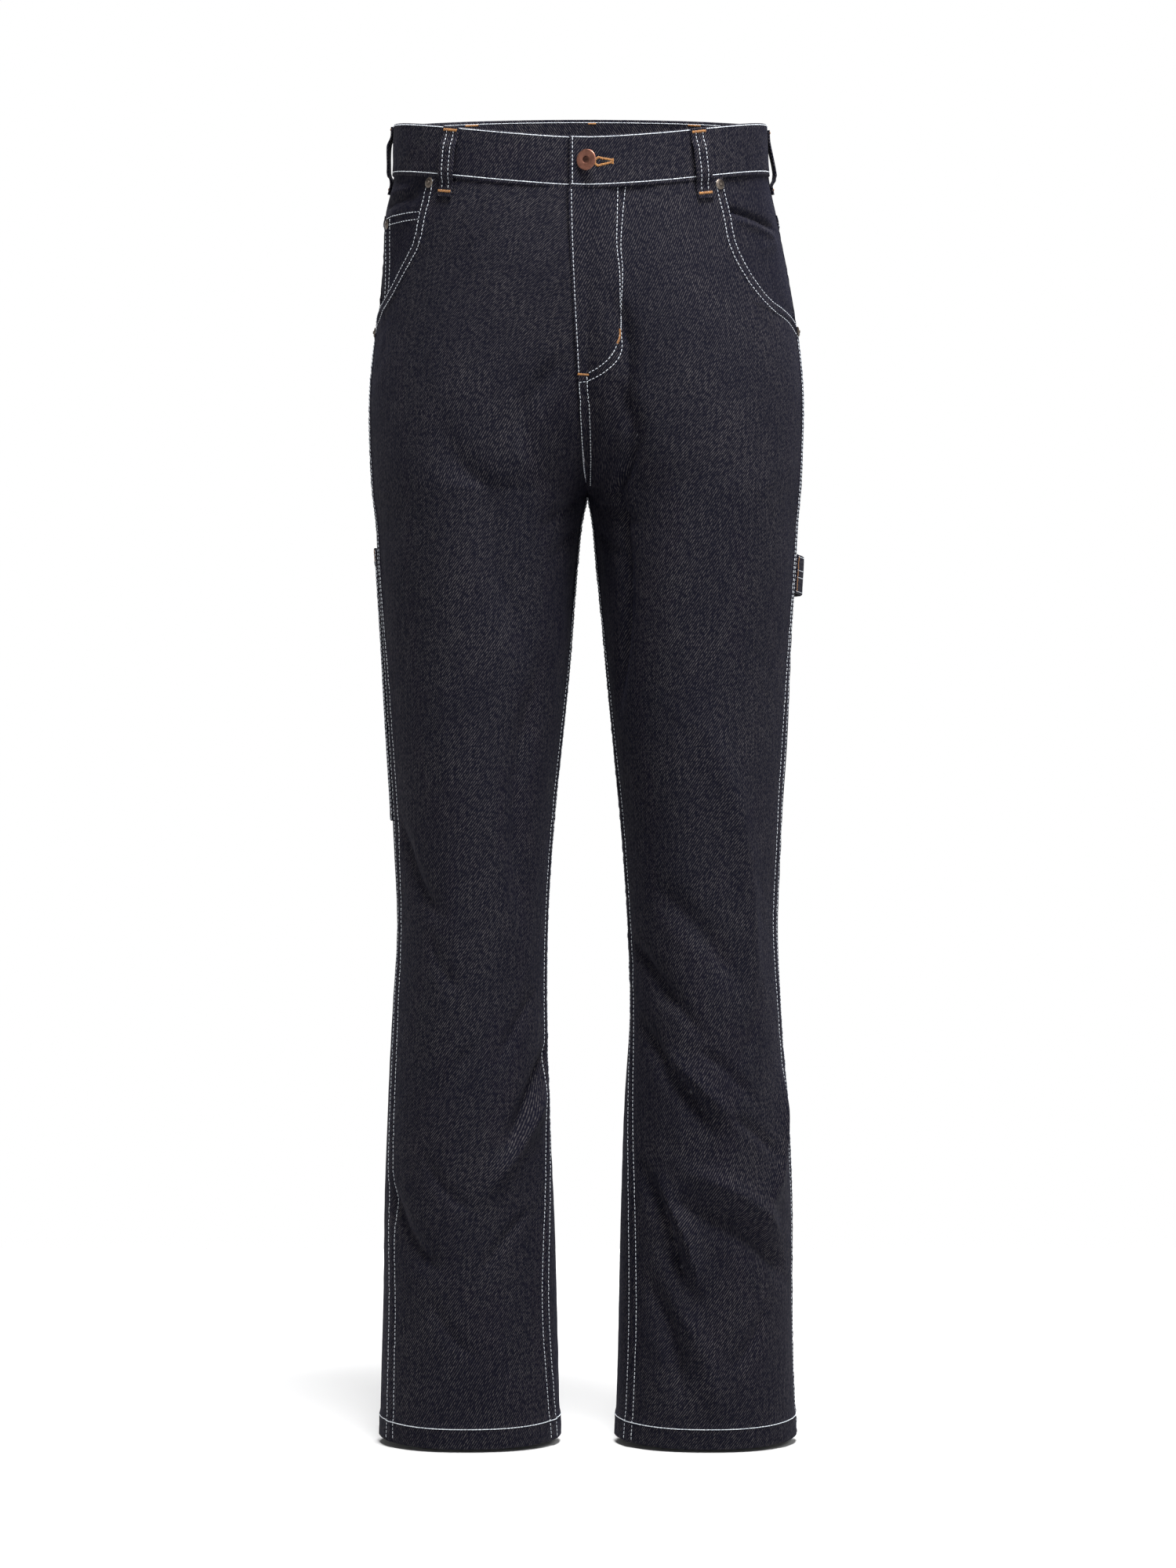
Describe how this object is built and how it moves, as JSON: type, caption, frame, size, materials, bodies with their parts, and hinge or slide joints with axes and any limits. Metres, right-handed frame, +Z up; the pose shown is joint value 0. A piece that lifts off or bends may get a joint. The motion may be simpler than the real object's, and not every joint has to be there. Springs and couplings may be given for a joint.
{
  "type": "jeans",
  "caption": "Straight-leg carpenter jeans in dark raw denim, filled out as worn, with belt loops, scoop and patch pockets, a tool pocket and a hammer loop.",
  "frame": {"origin": "centre of the waist opening, halfway up the waistband at the sides", "axes": "+Z up from the hems to the waist; -Y is the way the front faces; +X is the wearer's left"},
  "size_m": [0.3641, 0.2674, 1.1179],
  "materials": {
    "denim": "unwashed indigo twill, matt, with pale contrast stitching",
    "copper": "satin copper, worn bright on the rim",
    "dark_metal": "dark oxidised, satin"
  },
  "bodies": {
    "root": {"back_left": "denim", "back_pocket_left": "denim", "back_pocket_right": "denim", "back_right": "denim", "belt_loop_back_left": "denim", "belt_loop_back_middle": "denim", "belt_loop_back_right": "denim", "belt_loop_front_left": "denim", "belt_loop_front_right": "denim", "belt_loop_side_left": "denim", "belt_loop_side_right": "denim", "button": "copper", "coin_pocket": "denim", "front_left": "denim", "front_right": "denim", "hammer_loop": "denim", "pocket_facing_left": "denim", "pocket_facing_right": "denim", "rivet_coin_pocket": "dark_metal", "rivet_side_left": "dark_metal", "rivet_side_right": "dark_metal", "rivet_top_left": "dark_metal", "rivet_top_right": "dark_metal", "tool_pocket": "denim", "waistband": "denim", "yoke_left": "denim", "yoke_right": "denim"}
  },
  "joints": []
}
